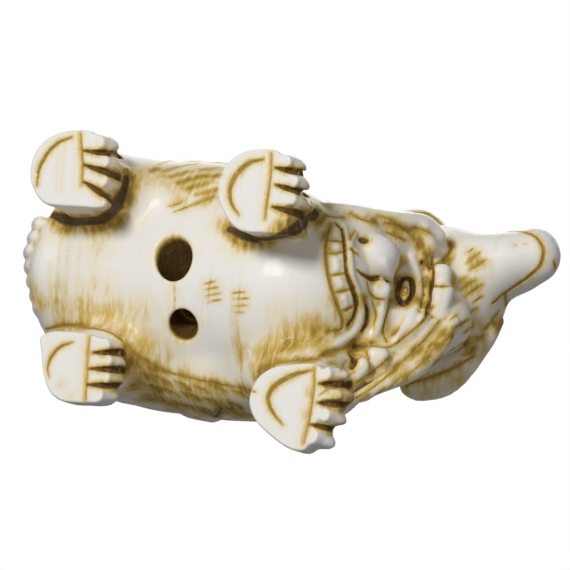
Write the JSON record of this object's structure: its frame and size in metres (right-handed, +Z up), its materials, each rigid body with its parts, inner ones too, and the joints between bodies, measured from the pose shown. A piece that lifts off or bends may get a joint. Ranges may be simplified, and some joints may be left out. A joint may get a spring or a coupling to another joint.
{
  "type": "netsuke",
  "caption": "Carved ivory netsuke of a squat lion-dog on four paws with a long-muzzled young animal on its back, and a pair of joined cord holes in its belly.",
  "frame": {"origin": "under the middle of the figure's box, on the plane of the four soles", "axes": "+X the way the lion-dog stands facing, +Y to its left, +Z up"},
  "size_m": [0.0452, 0.027, 0.0323],
  "materials": {
    "ivory": "gloss"
  },
  "bodies": {
    "root": {"netsuke_figure": "ivory"}
  },
  "joints": []
}
